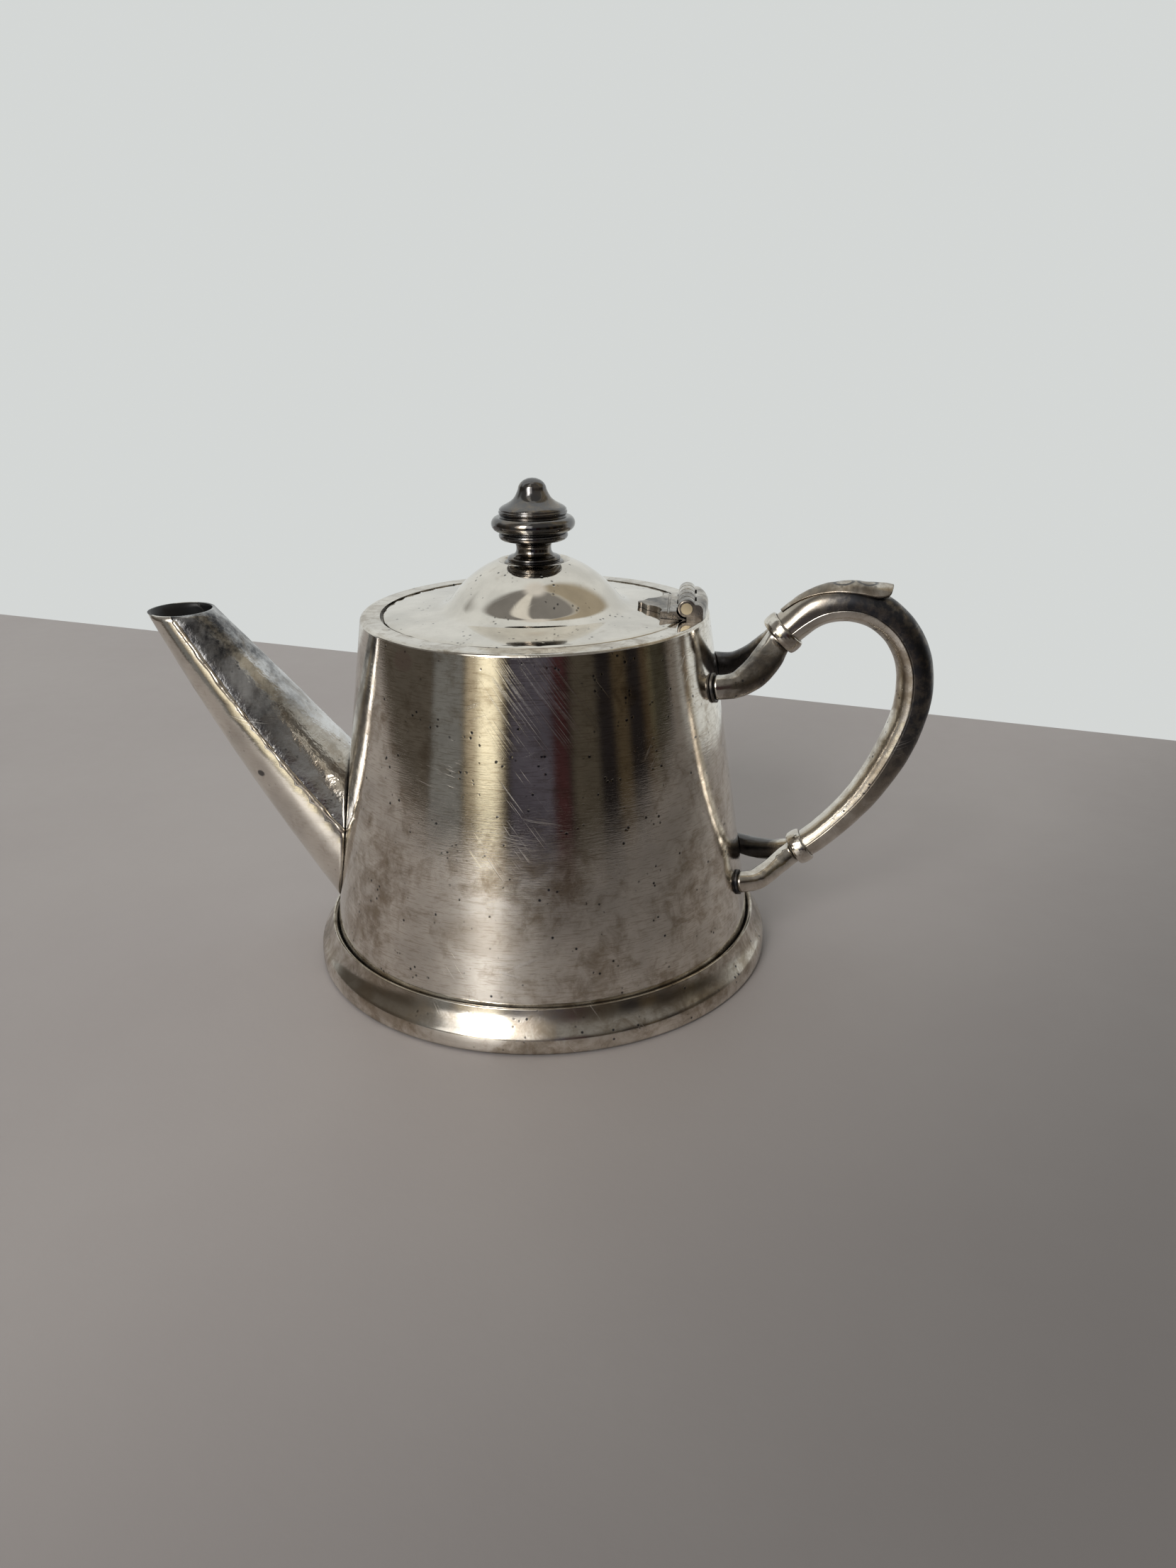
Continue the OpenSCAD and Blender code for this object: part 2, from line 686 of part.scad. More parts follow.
// Half of the angle that it wraps: it widens to its waist and is rounded at the lip
function thumb_turn(u) = mix(14, 52, sin(90 * min(u / 0.8, 1)))
    * (u > 0.9 ? sqrt(1 - pow((u - 0.9) / 0.13, 2)) : 1);
// Gap under it: it lifts off the handle at the lip
function thumb_lift(u) = film + thumb_lip * pow(max(u - 0.8, 0), 2);
// Oval hollow pressed in its top at share m of the way, l long
function hollow(u, v, m, l) = max(0, 1 - pow((u - m) / l, 2) - pow(v / 0.55, 2));
// Thickness at share u of the way and share v of the half width
function thumb_thick(u, v) = (thumb_t * (0.14 + 0.86 * pow(u, 2.2))
    - hollow_d * (hollow(u, v, 0.58, 0.1) + hollow(u, v, 0.79, 0.11)))
    * (0.3 + 0.7 * sqrt(1 - 0.9 * v * v));

module thumb_rest() {
    function skin(top) = [for (k = [0:thumb_cols]) let (v = 2 * k / thumb_cols - 1)
        [for (i = [thumb_from:thumb_to]) let (
                u = thumb_way(i), lift = thumb_lift(u) + (top ? thumb_thick(u, v) : 0))
            handle_at(i, v * thumb_turn(u), -lift)]];
    color(dull_silver) sheet(skin(true), skin(false));
}

// Ring round a middle line at one of its ends, with a rounded bead
module collar(line, i, r) {
    p = line[i];
    h = heading(line, i);
    inner = r + collar_gap;
    steps = 8;
    translate([p[0], 0, p[1]]) rotate([0, atan2(h[0], h[2]), 0])
        rotate_extrude($fn = 48) polygon(concat(
            [[inner, collar_w / 2], [inner, -collar_w / 2]],
            [for (j = [0:steps]) let (t = -90 + 180 * j / steps)
                [inner + 0.35 + (collar_bead - 0.35) * cos(t), collar_w / 2 * sin(t)]]));
}

module upper_collar() {
    color(silver) collar(handle_line, 0, handle_points[0][3]);
}

module lower_collar() {
    color(silver) collar(handle_line, handle_last, handle_points[len(handle_points) - 1][3]);
}

// ---- Forks ----

// Middle line of one prong from the handle to the wall: distance from the wall
// as the loop has it, y, z, half height and half width
upper_prong = [
    [14.3, 1.1, 70.5, 3, 2.1], [12.8, 1.3, 68.7, 2.95, 1.95], [10.7, 3.1, 66.2, 3.3, 2],
    [8, 5.4, 63.8, 3.2, 2.1], [5.1, 7.2, 62.1, 2.9, 2.2], [2.6, 8.3, 61.4, 2.6, 2.3],
    [-1.1, 9.1, 61.3, 2.5, 2.3]];
lower_prong = [
    [13.2, 0.9, 22.6, 2.5, 1.8], [11.5, 1, 21.6, 2.5, 1.8], [9.1, 2.7, 20.5, 2.5, 1.8],
    [6.5, 5.1, 19.3, 2.4, 1.9], [4, 7.4, 18.5, 2.4, 2.1], [2.2, 8.8, 18.2, 2.3, 2.1],
    [-0.4, 10, 18.4, 2.2, 2.1]];
prong_steps = 3;
prong_sides = 14;
// Rings over which a prong turns from the handle's end plane to its own run
prong_turn = 5;
// Solder gap between a prong's flat end and the curved pad under it
prong_gap = 0.15;

function prong_ring(q, i, start) = let (
        a = q[max(i - 1, 0)], b = q[min(i + 1, len(q) - 1)],
        run = unit([b[0] - a[0], b[1] - a[1], b[2] - a[2]]),
        h = unit(mix(start, run, min(i / prong_turn, 1))),
        side = unit(cross(cross(h, y_axis), h)), up = cross(side, h))
    [for (k = [0:prong_sides - 1]) let (t = 360 * k / prong_sides)
        [q[i][0], q[i][1], q[i][2]] + q[i][3] * pow(abs(sin(t)), 0.85) * sign(sin(t)) * up
        + q[i][4] * pow(abs(cos(t)), 0.85) * sign(cos(t)) * side];

// One prong, from the handle's end plane, square to start, to the wall
module prong(points, start) {
    q = smooth([for (p = points) [wall_r(p[2]) + p[0], p[1], p[2], p[3], p[4]]], prong_steps);
    last = len(q) - 1;
    rings = [for (i = [0:last - 2]) prong_ring(q, i, start)];
    run = unit([for (k = [0:2]) q[last][k] - q[last - 2][k]]);
    seat = [for (p = rings[last - 2]) to_wall(p, run, pad_t + prong_gap, 0, 20)];
    loft(concat(rings, [seat]));
}

module fork(points, start) {
    prong(points, start);
    mirror([0, 1, 0]) prong(points, start);
}

module upper_fork() {
    color(silver) fork(upper_prong, -heading(handle_line, 0));
}

module lower_fork() {
    color(silver) fork(lower_prong, heading(handle_line, handle_last));
}

// Oval solder pads that carry a fork's prongs on the wall
module fork_pads(points) {
    end = points[len(points) - 1];
    pad_r = end[4] + pad_rim;
    rise = end[3] - end[4] + pad_rim;
    for (side = [-1, 1]) intersection() {
        translate([0, side * end[1], end[2]]) rotate([90, 0, 90])
            linear_extrude(foot_r) union() {
                translate([0, rise]) circle(r = pad_r, $fn = 32);
                translate([0, -rise]) circle(r = pad_r, $fn = 32);
                translate([-pad_r, -rise]) square([2 * pad_r, 2 * rise]);
            }
        difference() {
            wall_cone(pad_t, ledge_z, rim_z);
            wall_cone(0, ledge_z - past, rim_z + past);
        }
    }
}

module upper_fork_pads() {
    color(dull_silver) fork_pads(upper_prong);
}

module lower_fork_pads() {
    color(dull_silver) fork_pads(lower_prong);
}

body_shell();
mouth_ring();
base_disc();
foot_ring();
spout_upper_shell();
spout_lower_shell();
spout_seam_solder();
body_hinge_leaf();
hinge_pin();
lid_plate();
lid_bezel();
lid_hinge_leaf();
finial();
finial_washer();
finial_nut();
handle_outer_shell();
handle_inner_shell();
thumb_rest();
upper_collar();
lower_collar();
upper_fork();
lower_fork();
upper_fork_pads();
lower_fork_pads();
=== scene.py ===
"""Looks of a small silver teapot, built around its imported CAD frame. Metres, +Z up, +X towards the handle."""
import json
import math

import bmesh
import bpy
from mathutils import Matrix, Vector, noise

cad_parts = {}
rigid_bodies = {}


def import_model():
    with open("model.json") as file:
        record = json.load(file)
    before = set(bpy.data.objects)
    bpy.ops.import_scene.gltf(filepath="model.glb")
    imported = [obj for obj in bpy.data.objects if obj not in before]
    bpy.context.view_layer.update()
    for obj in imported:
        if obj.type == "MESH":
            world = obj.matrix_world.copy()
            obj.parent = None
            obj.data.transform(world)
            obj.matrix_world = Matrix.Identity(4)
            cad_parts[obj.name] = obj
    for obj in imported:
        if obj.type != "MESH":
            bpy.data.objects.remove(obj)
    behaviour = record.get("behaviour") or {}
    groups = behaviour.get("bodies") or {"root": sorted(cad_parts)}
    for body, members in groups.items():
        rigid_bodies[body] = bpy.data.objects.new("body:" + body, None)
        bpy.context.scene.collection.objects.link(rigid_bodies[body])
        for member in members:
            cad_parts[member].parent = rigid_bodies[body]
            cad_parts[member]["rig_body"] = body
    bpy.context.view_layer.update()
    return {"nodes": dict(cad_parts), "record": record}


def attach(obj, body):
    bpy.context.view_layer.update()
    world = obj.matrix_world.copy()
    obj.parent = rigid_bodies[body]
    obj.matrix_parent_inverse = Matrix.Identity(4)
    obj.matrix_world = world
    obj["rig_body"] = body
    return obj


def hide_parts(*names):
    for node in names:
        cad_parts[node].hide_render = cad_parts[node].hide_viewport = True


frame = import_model()

MM = 0.001

# ---- Camera: placed and turned as in the photograph ----

CAMERA_AT = Vector((0.0322, -0.2289, 0.1287))
HEADING = math.radians(5.42)     # from +Y towards -X
PITCH = math.radians(21.94)      # below the horizontal
ROLL = -0.01147
LENS = 26.0
SENSOR = 36.0


def make_camera():
    forward = Vector((-math.sin(HEADING), math.cos(HEADING), 0)) * math.cos(PITCH)
    forward.z = -math.sin(PITCH)
    level = Vector((math.cos(HEADING), math.sin(HEADING), 0))
    up = level.cross(forward)
    right = math.cos(ROLL) * level + math.sin(ROLL) * up
    up = math.cos(ROLL) * up - math.sin(ROLL) * level
    data = bpy.data.cameras.new("camera")
    data.lens = LENS
    data.sensor_width = SENSOR
    data.sensor_fit = "AUTO"
    data.clip_start = 0.01
    camera = bpy.data.objects.new("camera", data)
    turn = Matrix((right, up, -forward)).transposed()
    camera.matrix_world = Matrix.Translation(CAMERA_AT) @ turn.to_4x4()
    bpy.context.scene.collection.objects.link(camera)
    bpy.context.scene.camera = camera


# ---- Short calls for shader nodes ----


class Graph:
    """A node tree; each call adds a node and returns one of its outputs."""

    def __init__(self, tree):
        self.tree = tree
        tree.nodes.clear()

    def node(self, kind, inputs=None, out=0, **settings):
        made = self.tree.nodes.new("ShaderNode" + kind)
        for key, value in settings.items():
            setattr(made, key, value)
        for key, value in (inputs or {}).items():
            if isinstance(value, bpy.types.NodeSocket):
                self.tree.links.new(value, made.inputs[key])
            else:
                made.inputs[key].default_value = value
        return made.outputs[out] if len(made.outputs) else None

    def math(self, operation, a, b=0.0, c=0.0):
        return self.node("Math", {0: a, 1: b, 2: c}, operation=operation)

    def step(self, value, low, high, to_low=0.0, to_high=1.0):
        """Smooth step of value from low to high."""
        return self.node("MapRange", {"Value": value, "From Min": low, "From Max": high, "To Min": to_low,
                                      "To Max": to_high}, interpolation_type="SMOOTHSTEP")

    def band(self, value, low, high, soft):
        """1 between low and high, with soft edges."""
        rise = self.step(value, low - soft, low + soft)
        fall = self.step(value, high - soft, high + soft, 1.0, 0.0)
        return self.math("MULTIPLY", rise, fall)

    def mix(self, share, a, b):
        return self.node("Mix", {0: share, 6: a, 7: b}, out=2, data_type="RGBA")

    def times(self, a, b):
        return self.math("MULTIPLY", a, b)

    def split(self, vector):
        parts = self.tree.nodes.new("ShaderNodeSeparateXYZ")
        self.tree.links.new(vector, parts.inputs[0])
        return parts.outputs

    def vector(self, operation, a, b=(0, 0, 0), scale=1.0):
        return self.node("VectorMath", {0: a, 1: b, 3: scale}, operation=operation)

    def scaled(self, vector, scale):
        return self.vector("MULTIPLY", vector, scale)

    def turned(self, vector, angles):
        return self.node("Mapping", {"Vector": vector, "Rotation": angles})

    def noise(self, vector, scale, detail=3.0, rough=0.55, distort=0.0):
        return self.node("TexNoise", {"Vector": vector, "Scale": scale, "Detail": detail,
                                      "Roughness": rough, "Distortion": distort})

    def cells(self, vector, scale):
        return self.node("TexVoronoi", {"Vector": vector, "Scale": scale})

    def place(self):
        """The point's place on the object, in metres."""
        return self.node("TexCoord", out=3)


def rgb(red, green, blue):
    return (red, green, blue, 1.0)


# ---- The room: soft daylight from one tall window, a pale wall behind, a pale ceiling ----
# Places in it are (start, end) in degrees: turns from the camera's side towards the handle, and
# rises above the horizontal. Apart from the wall, it shows only as reflections.

WALL = rgb(0.66, 0.68, 0.67)
WALL_IN_SHADE = rgb(0.33, 0.29, 0.22)
CEILING = rgb(0.62, 0.60, 0.56)
CEILING_RISE = (76, 85)
DIM_ROOM = rgb(0.014, 0.012, 0.012)
UPPER_ROOM = rgb(0.20, 0.192, 0.180)
UPPER_ROOM_RISE = (4, 34)
DIM_TURNS = (-122, 102)
HIGH_DIM_TURNS = (-94, 76)
HIGH_WALL_RISE = (22, 40)
SHADED_WALL_TURNS = (76, 125)
SHADED_WALL_RISE = (15, 30)

WINDOW = (1.0, 0.98, 0.95)
WINDOW_POWER = 8.0
CURTAIN_SHARE = 0.14
PANE_TURNS = (-40, -22)
CURTAIN_TURNS = (-52, -4)
WINDOW_RISE = (8.5, 44)
SILL = rgb(0.42, 0.36, 0.26)
SILL_TURNS = (-44, -21)
SILL_FOOT_RISE = (-11, -5)
SILL_TOP_RISE = (8, 3)
SUNLIT_SILL = rgb(1.15, 1.06, 0.80)
SUNLIT_TURNS = (-36, -24)
SUNLIT_RISE = (-7.5, 6)
WINDOW_HEAD = rgb(0.70, 0.68, 0.62)
HEAD_TURNS = (-50, -16)
HEAD_RISE = (48, 82)

# Things in the dim part of the room: their turns and colour
FURNITURE_EDGE = 1.2
FURNITURE = [
    (-122, -66, rgb(0.080, 0.070, 0.058)),
    (-66, -46, rgb(0.150, 0.150, 0.145)),
    (-17, 8, rgb(0.065, 0.060, 0.075)),
    (8, 17, rgb(0.040, 0.017, 0.018)),
    (19, 35, rgb(0.055, 0.047, 0.036)),
    (46, 55, rgb(0.058, 0.044, 0.027)),
    (66, 72, rgb(0.050, 0.036, 0.022)),
    (72, 74, rgb(0.110, 0.098, 0.060)),
    (75, 86, rgb(0.040, 0.036, 0.026)),
    (88, 104, rgb(0.140, 0.125, 0.110)),
]


def turn_and_rise(g):
    """Where a reflection looks: its turn from the camera's side and its rise, both in degrees."""
    x, y, z = g.split(g.node("TexCoord", out=0))
    side = math.atan2(CAMERA_AT.x, -CAMERA_AT.y)
    across = g.math("ADD", g.times(x, math.cos(side)), g.times(y, math.sin(side)))
    toward = g.math("SUBTRACT", g.times(x, math.sin(side)), g.times(y, math.cos(side)))
    turn = g.math("DEGREES", g.math("ARCTAN2", across, toward))
    rise = g.math("DEGREES", g.math("ARCSINE", z))
    return turn, rise


def room_light(g, turn, rise):
    """The dim room with its furniture, the pale wall all round the far side, and the ceiling."""
    light = DIM_ROOM
    for start, end, colour in FURNITURE:
        light = g.mix(g.band(turn, start, end, FURNITURE_EDGE), light, colour)
    light = g.mix(g.step(rise, *UPPER_ROOM_RISE), light, UPPER_ROOM)
    wall = g.math("SUBTRACT", 1.0, g.band(turn, *DIM_TURNS, 9))
    high_wall = g.math("SUBTRACT", 1.0, g.band(turn, *HIGH_DIM_TURNS, 8))
    high_wall = g.times(high_wall, g.step(rise, *HIGH_WALL_RISE))
    light = g.mix(g.math("MAXIMUM", wall, high_wall), light, WALL)
    shaded = g.times(g.band(turn, *SHADED_WALL_TURNS, 9), g.step(rise, *SHADED_WALL_RISE))
    light = g.mix(shaded, light, WALL_IN_SHADE)
    return g.mix(g.step(rise, *CEILING_RISE), light, CEILING)


def window_light(g, turn, rise, light):
    """Adds the window: bright glass between pale curtains, under a pale head and over a dimmer sill."""
    sill = g.times(g.band(turn, *SILL_TURNS, 3), g.step(rise, *SILL_FOOT_RISE))
    sill = g.times(sill, g.step(rise, *SILL_TOP_RISE))
    light = g.mix(sill, light, SILL)
    sunlit = g.times(g.band(turn, *SUNLIT_TURNS, 3), g.band(rise, *SUNLIT_RISE, 2))
    light = g.mix(sunlit, light, SUNLIT_SILL)
    head = g.times(g.band(turn, *HEAD_TURNS, 6), g.band(rise, *HEAD_RISE, 4))
    light = g.mix(head, light, WINDOW_HEAD)
    pane = g.times(g.band(turn, *PANE_TURNS, 3), WINDOW_POWER)
    curtains = g.times(g.band(turn, *CURTAIN_TURNS, 3), WINDOW_POWER * CURTAIN_SHARE)
    panes = g.times(g.math("ADD", pane, curtains), g.band(rise, *WINDOW_RISE, 2.5))
    return g.vector("ADD", light, g.vector("SCALE", WINDOW, scale=panes))


def make_world():
    world = bpy.data.worlds.new("room")
    bpy.context.scene.world = world
    world.use_nodes = True
    g = Graph(world.node_tree)
    turn, rise = turn_and_rise(g)
    light = window_light(g, turn, rise, room_light(g, turn, rise))
    # What the camera itself sees past the table is the plain wall
    light = g.mix(g.node("LightPath", out=0), light, WALL)
    background = g.node("Background", {"Color": light, "Strength": 1.0})
    g.node("OutputWorld", {"Surface": background})


# ---- Table: a painted slab with a straight far edge and a rounded near one ----

TABLE_TOP = -0.0002
TABLE_THICK = 0.03
TABLE_BACK = 0.204       # where its far edge crosses the line x = 0
TABLE_TURN = math.radians(-17.2)
TABLE_REACH = 0.8
TABLE_EDGE = 0.004
TABLE_SHADE = (1.08, 0.5)     # painted shade: its tone under the pot, and away from it towards the viewer's right
TABLE_SHADE_OVER = (0.0, 0.16)     # where that change starts and ends
TABLE_PAINT = (rgb(0.40, 0.365, 0.36), rgb(0.425, 0.392, 0.385))
TABLE_FRONT = [(-0.60, 0.12), (-0.30, -0.09), (-0.17, -0.21), (-0.06, -0.275), (0.06, -0.285),
               (0.17, -0.25), (0.29, -0.17), (0.45, -0.05)]


def table_paint():
    material = bpy.data.materials.new("table_paint")
    material.use_nodes = True
    g = Graph(material.node_tree)
    place = g.place()
    mottle = g.noise(place, 9.0, 4.0)
    colour = g.mix(g.step(mottle, 0.3, 0.7), *TABLE_PAINT)
    # Painted shade: the table darkens towards the viewer's right
    x, y, _ = g.split(place)
    near = g.math("SUBTRACT", g.times(x, 0.8), g.times(y, 0.6))
    colour = g.vector("SCALE", colour, scale=g.step(near, *TABLE_SHADE_OVER, *TABLE_SHADE))
    grain = g.noise(place, 420.0, 3.0)
    bump = g.node("Bump", {"Height": grain, "Strength": 0.12, "Distance": 0.0004})
    rough = g.step(g.noise(place, 160.0, 3.0), 0.2, 0.8, 0.45, 0.5)
    shader = g.node("BsdfPrincipled", {"Base Color": colour, "Roughness": rough, "Normal": bump})
    g.node("OutputMaterial", {"Surface": shader})
    return material


def make_table():
    slope = math.tan(TABLE_TURN)
    back = [(x, TABLE_BACK + slope * x) for x in (0.55, -TABLE_REACH)]
    mesh = bpy.data.meshes.new("table")
    bm = bmesh.new()
    corners = [bm.verts.new((x, y, TABLE_TOP)) for x, y in TABLE_FRONT + back]
    top = bm.faces.new(corners)
    sides = bmesh.ops.extrude_face_region(bm, geom=[top])["geom"]
    lower = [part for part in sides if isinstance(part, bmesh.types.BMVert)]
    bmesh.ops.translate(bm, verts=lower, vec=(0, 0, -TABLE_THICK))
    bmesh.ops.recalc_face_normals(bm, faces=bm.faces)
    bm.to_mesh(mesh)
    bm.free()
    table = bpy.data.objects.new("table", mesh)
    bpy.context.scene.collection.objects.link(table)
    edge = table.modifiers.new("edge", "BEVEL")
    edge.width = TABLE_EDGE
    edge.segments = 3
    mesh.materials.append(table_paint())


# ---- Silver ----

CLEAN = rgb(0.86, 0.81, 0.73)
BROWN = rgb(0.36, 0.29, 0.21)
BLACK = rgb(0.062, 0.063, 0.070)
SCRATCH = rgb(0.86, 0.84, 0.80)
PINK = rgb(0.66, 0.53, 0.50)
# How far each family of scratches leans from upright, and how much of the piece it may cover
SCRATCHES = ((0.62, 0.60), (-0.45, 0.62), (1.35, 0.57), (-1.2, 0.60))
RING_WIDTH = 0.7    # a ring's inner radii, as a share of its outer ones


def strokes(g, place, lean, least=0.62):
    """Thin straight scratches that lean from upright by an angle, as seen from the front."""
    turned = g.turned(place, (0, lean, 0))
    streak = g.noise(g.scaled(turned, (1500.0, 160.0, 22.0)), 2.0, 2.0, 0.5)
    return g.step(streak, least, least + 0.09)


def spot(g, place, centre, radii, soft):
    """1 inside a ragged oval round a place, 0 outside it."""
    away = g.vector("DIVIDE", g.vector("SUBTRACT", place, centre), radii)
    size = g.node("VectorMath", {0: away}, out=1, operation="LENGTH")
    size = g.math("MULTIPLY_ADD", g.noise(place, 700.0, 3.0), 0.35, size)
    return g.step(size, 1.17 - soft, 1.17 + soft, 1.0, 0.0)


def tarnish(g, place, stained, blackened, grime_and_shade, reach, fade):
    """Shares of brown film and of black. Both come in broad clouds with finer blotches inside them,
    and black also fills the corners: partly tarnish that a cloth misses, partly painted shade."""
    clouds = g.noise(place, 45.0, 6.0, 0.68, 0.4)
    blotches = g.noise(place, 230.0, 5.0, 0.7, 0.5)
    share = 1.0
    for axis, start, end in fade:
        share = g.times(share, g.step(g.split(place)[axis], start, end))
    film = g.math("MULTIPLY_ADD", blotches, 0.45, g.times(clouds, 0.55))
    brown_from = 0.60 - 0.26 * stained
    brown = g.times(g.step(film, brown_from, brown_from + 0.2), g.math("MULTIPLY_ADD", share, 0.4, 0.6))
    # Corner black from the occlusion node: part tarnish in hollows, part painted shade
    corner = g.node("AmbientOcclusion", {"Distance": reach}, out=1, samples=6)
    corner_grime_and_shade = g.times(g.step(corner, 0.2, 0.8, 1.0, 0.0), grime_and_shade)
    black_from = 0.64 - 0.42 * blackened
    flecks = g.step(g.noise(place, 480.0, 4.0, 0.7), 0.36, 0.6, 0.7, 1.0)
    black = g.times(g.step(clouds, black_from, black_from + 0.2), flecks)
    black = g.times(black, g.times(share, min(1.0, blackened * 1.5)))
    return brown, g.math("MAXIMUM", black, corner_grime_and_shade)


def scratches(g, place, scratched, hatched):
    """Scratches in patches at several slants, and one patch of dense ones where hatched is given."""
    lines = 0.0
    for lean, cover in SCRATCHES:
        patch = g.step(g.noise(g.turned(place, (lean, 0.4, 0)), 60.0, 2.0), cover, cover + 0.1)
        lines = g.math("MAXIMUM", lines, g.times(strokes(g, place, lean), patch))
    lines = g.times(lines, scratched)
    if hatched:
        centre, radius, lean = hatched
        patch = spot(g, place, centre, (radius, radius, radius), 0.5)
        lines = g.math("MAXIMUM", lines, g.times(strokes(g, place, lean, 0.54), patch))
    return lines


def pits_in(g, place, pitted):
    """Small dark points, thinly strewn."""
    chosen = g.step(g.noise(place, 240.0, 2.0), 0.56, 0.62)
    pits = g.times(g.step(g.cells(place, 800.0), 0.1, 0.3, 1.0, 0.0), chosen)
    return g.times(pits, pitted)


def with_marks(g, place, colour, spots, rings):
    """Paints the marks on single places over a colour."""
    for centre, radii, paint, cover in spots:
        colour = g.mix(g.times(spot(g, place, centre, radii, 0.25), cover), colour, paint)
    for centre, radii, paint, cover in rings:
        inner = [RING_WIDTH * radius for radius in radii]
        ring = g.math("SUBTRACT", spot(g, place, centre, radii, 0.12), spot(g, place, centre, inner, 0.12))
        colour = g.mix(g.times(ring, cover), colour, paint)
    return colour


def relief(g, place, ripple, hammered, brushed, lines, pits):
    """The surface's waves, hammer marks, brush marks, scratches and pits."""
    waves = g.noise(place, 60.0, 1.0, 0.4)
    bump = g.node("Bump", {"Height": waves, "Strength": ripple, "Distance": 0.0004})
    if hammered:
        dimples = g.noise(place, 420.0, 3.0, 0.6)
        bump = g.node("Bump", {"Height": dimples, "Strength": hammered, "Distance": 0.0003, "Normal": bump})
    brush_marks = g.noise(g.scaled(place, (90.0, 90.0, 850.0)), 4.0, 4.0, 0.7)
    fine = g.times(brush_marks, 0.8 * brushed)
    fine = g.math("MULTIPLY_ADD", lines, -0.6, fine)
    fine = g.math("MULTIPLY_ADD", pits, -1.0, fine)
    return g.node("Bump", {"Height": fine, "Strength": 0.3, "Distance": 0.00005, "Normal": bump})


def silver(name, stained=0.4, blackened=0.1, rough=0.06, brushed=0.5, scratched=0.5, pitted=0.3,
           ripple=0.1, hammered=0.0, grime_and_shade=0.7, reach=0.0018, fade=(), spots=(), rings=(),
           hatched=None, clean=CLEAN):
    """Worn silver plate, of the colour clean where nothing covers it.
    Each share, from 0 for none to about 1 for much, sets how much of one kind of wear it has, or of the black
    in corners that is part tarnish and part painted shade.
    reach is how far from a corner that black goes.
    fade lists (axis, from, to): between the two places the black grows from nothing to its full
    share, and the brown from 0.6 of its own.
    spots and rings are (centre, radii, colour, cover); hatched is (centre, radius, lean)."""
    material = bpy.data.materials.new(name)
    material.use_nodes = True
    g = Graph(material.node_tree)
    place = g.place()
    brown, black = tarnish(g, place, stained, blackened, grime_and_shade, reach, fade)
    lines = scratches(g, place, scratched, hatched)
    pits = pits_in(g, place, pitted)
    # Level streaks that brushing left, both in the colour and in the polish
    streaks = g.noise(g.scaled(place, (80.0, 80.0, 900.0)), 4.0, 3.0, 0.65)

    colour = g.mix(g.times(brown, 0.9), clean, BROWN)
    tone = g.step(g.noise(place, 95.0, 4.0, 0.6), 0.25, 0.75, 0.8, 1.08)
    colour = g.vector("SCALE", colour, scale=tone)
    colour = g.mix(g.step(streaks, 0.5, 0.35, 0.0, 0.42 * brushed), colour, BROWN)
    colour = g.mix(black, colour, BLACK)
    colour = g.mix(g.times(lines, 0.45), colour, SCRATCH)
    colour = g.mix(pits, colour, BLACK)
    colour = with_marks(g, place, colour, spots, rings)

    roughness = g.step(brown, 0, 1, rough, rough + 0.1)
    roughness = g.math("MULTIPLY_ADD", black, 0.16, roughness)
    roughness = g.math("MULTIPLY_ADD", g.step(streaks, 0.3, 0.7), 0.05 * brushed, roughness)
    roughness = g.math("MULTIPLY_ADD", lines, 0.12, roughness)

    normal = relief(g, place, ripple, hammered, brushed, lines, pits)
    shader = g.node("BsdfPrincipled", {"Base Color": colour, "Metallic": 1.0, "Roughness": roughness,
                                       "Normal": normal})
    g.node("OutputMaterial", {"Surface": shader})
    return material


X, Z = 0, 2

# Marks on single places: where they are, how large, of what colour, and how strong
PALE_PATCH = (Vector((-21.0, -29.6, 71.8)) * MM, Vector((2.4, 3.0, 1.9)) * MM, PINK, 0.6)
LOW_STAIN = (Vector((-6.0, -45.0, 22.0)) * MM, Vector((9.0, 9.0, 4.0)) * MM, BROWN, 0.3)
DARK_SPOT = (Vector((-58.4, -11.6, 41.4)) * MM, Vector((0.9, 2.0, 0.7)) * MM, BLACK, 0.85)
THUMB_OVALS = [(Vector((x, -0.4, 81.2)) * MM, Vector((2.2, 1.7, 3.0)) * MM, BLACK, 0.9) for x in (62.3, 67.0)]
FOOT_STAIN = (Vector((-26.0, -42.0, 6.0)) * MM, Vector((12.0, 9.0, 4.5)) * MM, BROWN, 0.55)
# Painted shade: black over the two far prongs, which lie in shade and mirror the dark body
FAR_PRONG_SHADE = [(Vector(centre) * MM, Vector((9.0, 7.0, 10.0)) * MM, BLACK, 0.9)
              for centre in ((45.0, 8.5, 61.0), (51.0, 8.5, 18.0))]
HATCH = (Vector((5.5, -36.6, 66.0)) * MM, 9.0 * MM, 0.62)
